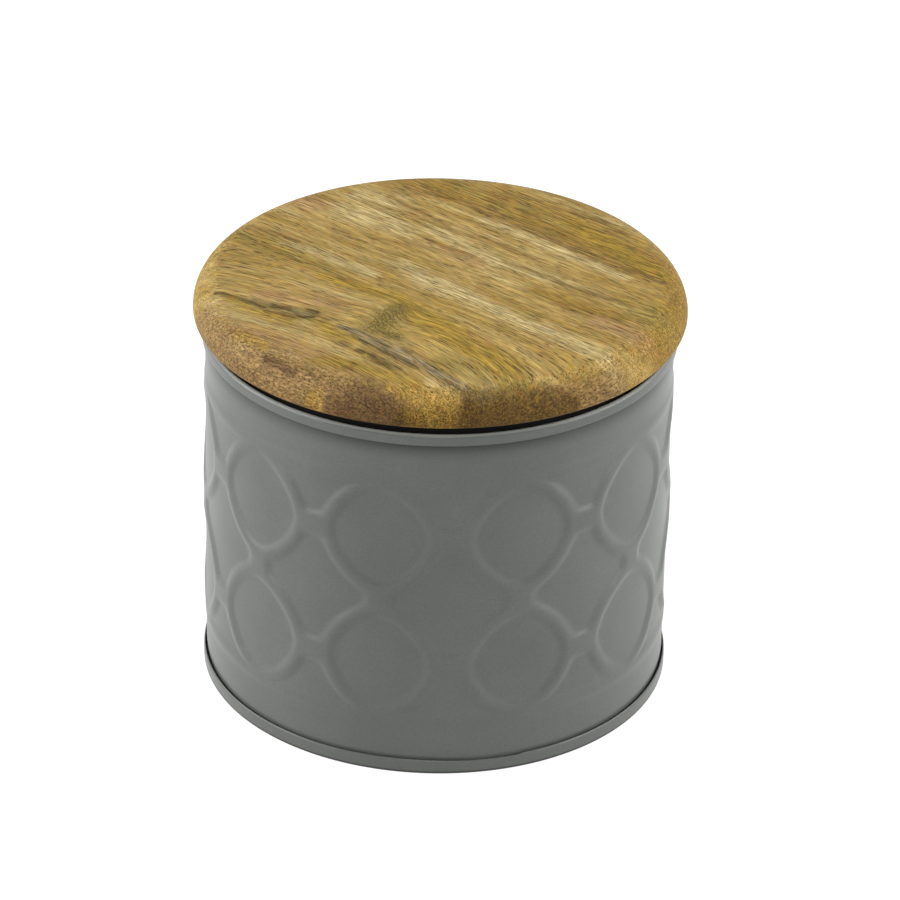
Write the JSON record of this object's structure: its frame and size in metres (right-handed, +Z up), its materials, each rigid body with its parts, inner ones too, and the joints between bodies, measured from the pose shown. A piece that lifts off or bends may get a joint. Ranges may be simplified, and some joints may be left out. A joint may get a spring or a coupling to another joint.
{
  "type": "storage canister",
  "caption": "Round embossed sheet-metal canister with a trellis pattern, a hemmed mouth and a push-fit wooden lid with a rubber seal.",
  "frame": {"origin": "on the floor under the canister's middle, in the plane of the base ring", "axes": "+Z up along the canister's axis, -Y towards the side that the picture shows, +X to its right"},
  "size_m": [0.1262, 0.1262, 0.1107],
  "materials": {
    "grey_sheet_metal": "satin grey over embossed steel sheet",
    "grey_base_metal": "satin grey over plain steel sheet",
    "mango_wood": "satin oiled mango wood",
    "mango_wood_plug": "sanded mango wood",
    "black_rubber": "matt"
  },
  "bodies": {
    "canister": {"body_shell": "grey_sheet_metal", "base_pan": "grey_base_metal"},
    "seal": {"seal_ring": "black_rubber"},
    "lid": {"lid_board": "mango_wood", "lid_plug": "mango_wood_plug"}
  },
  "joints": [
    {"name": "lid_lift", "type": "slide", "parent": "canister", "child": "seal", "axis": [0, 0, 1], "range_m": [0, 0.06]},
    {"name": "lid_turn", "type": "hinge", "parent": "seal", "child": "lid", "pos_m": [0, 0, 0.096], "axis": [0, 0, 1], "continuous": true}
  ]
}
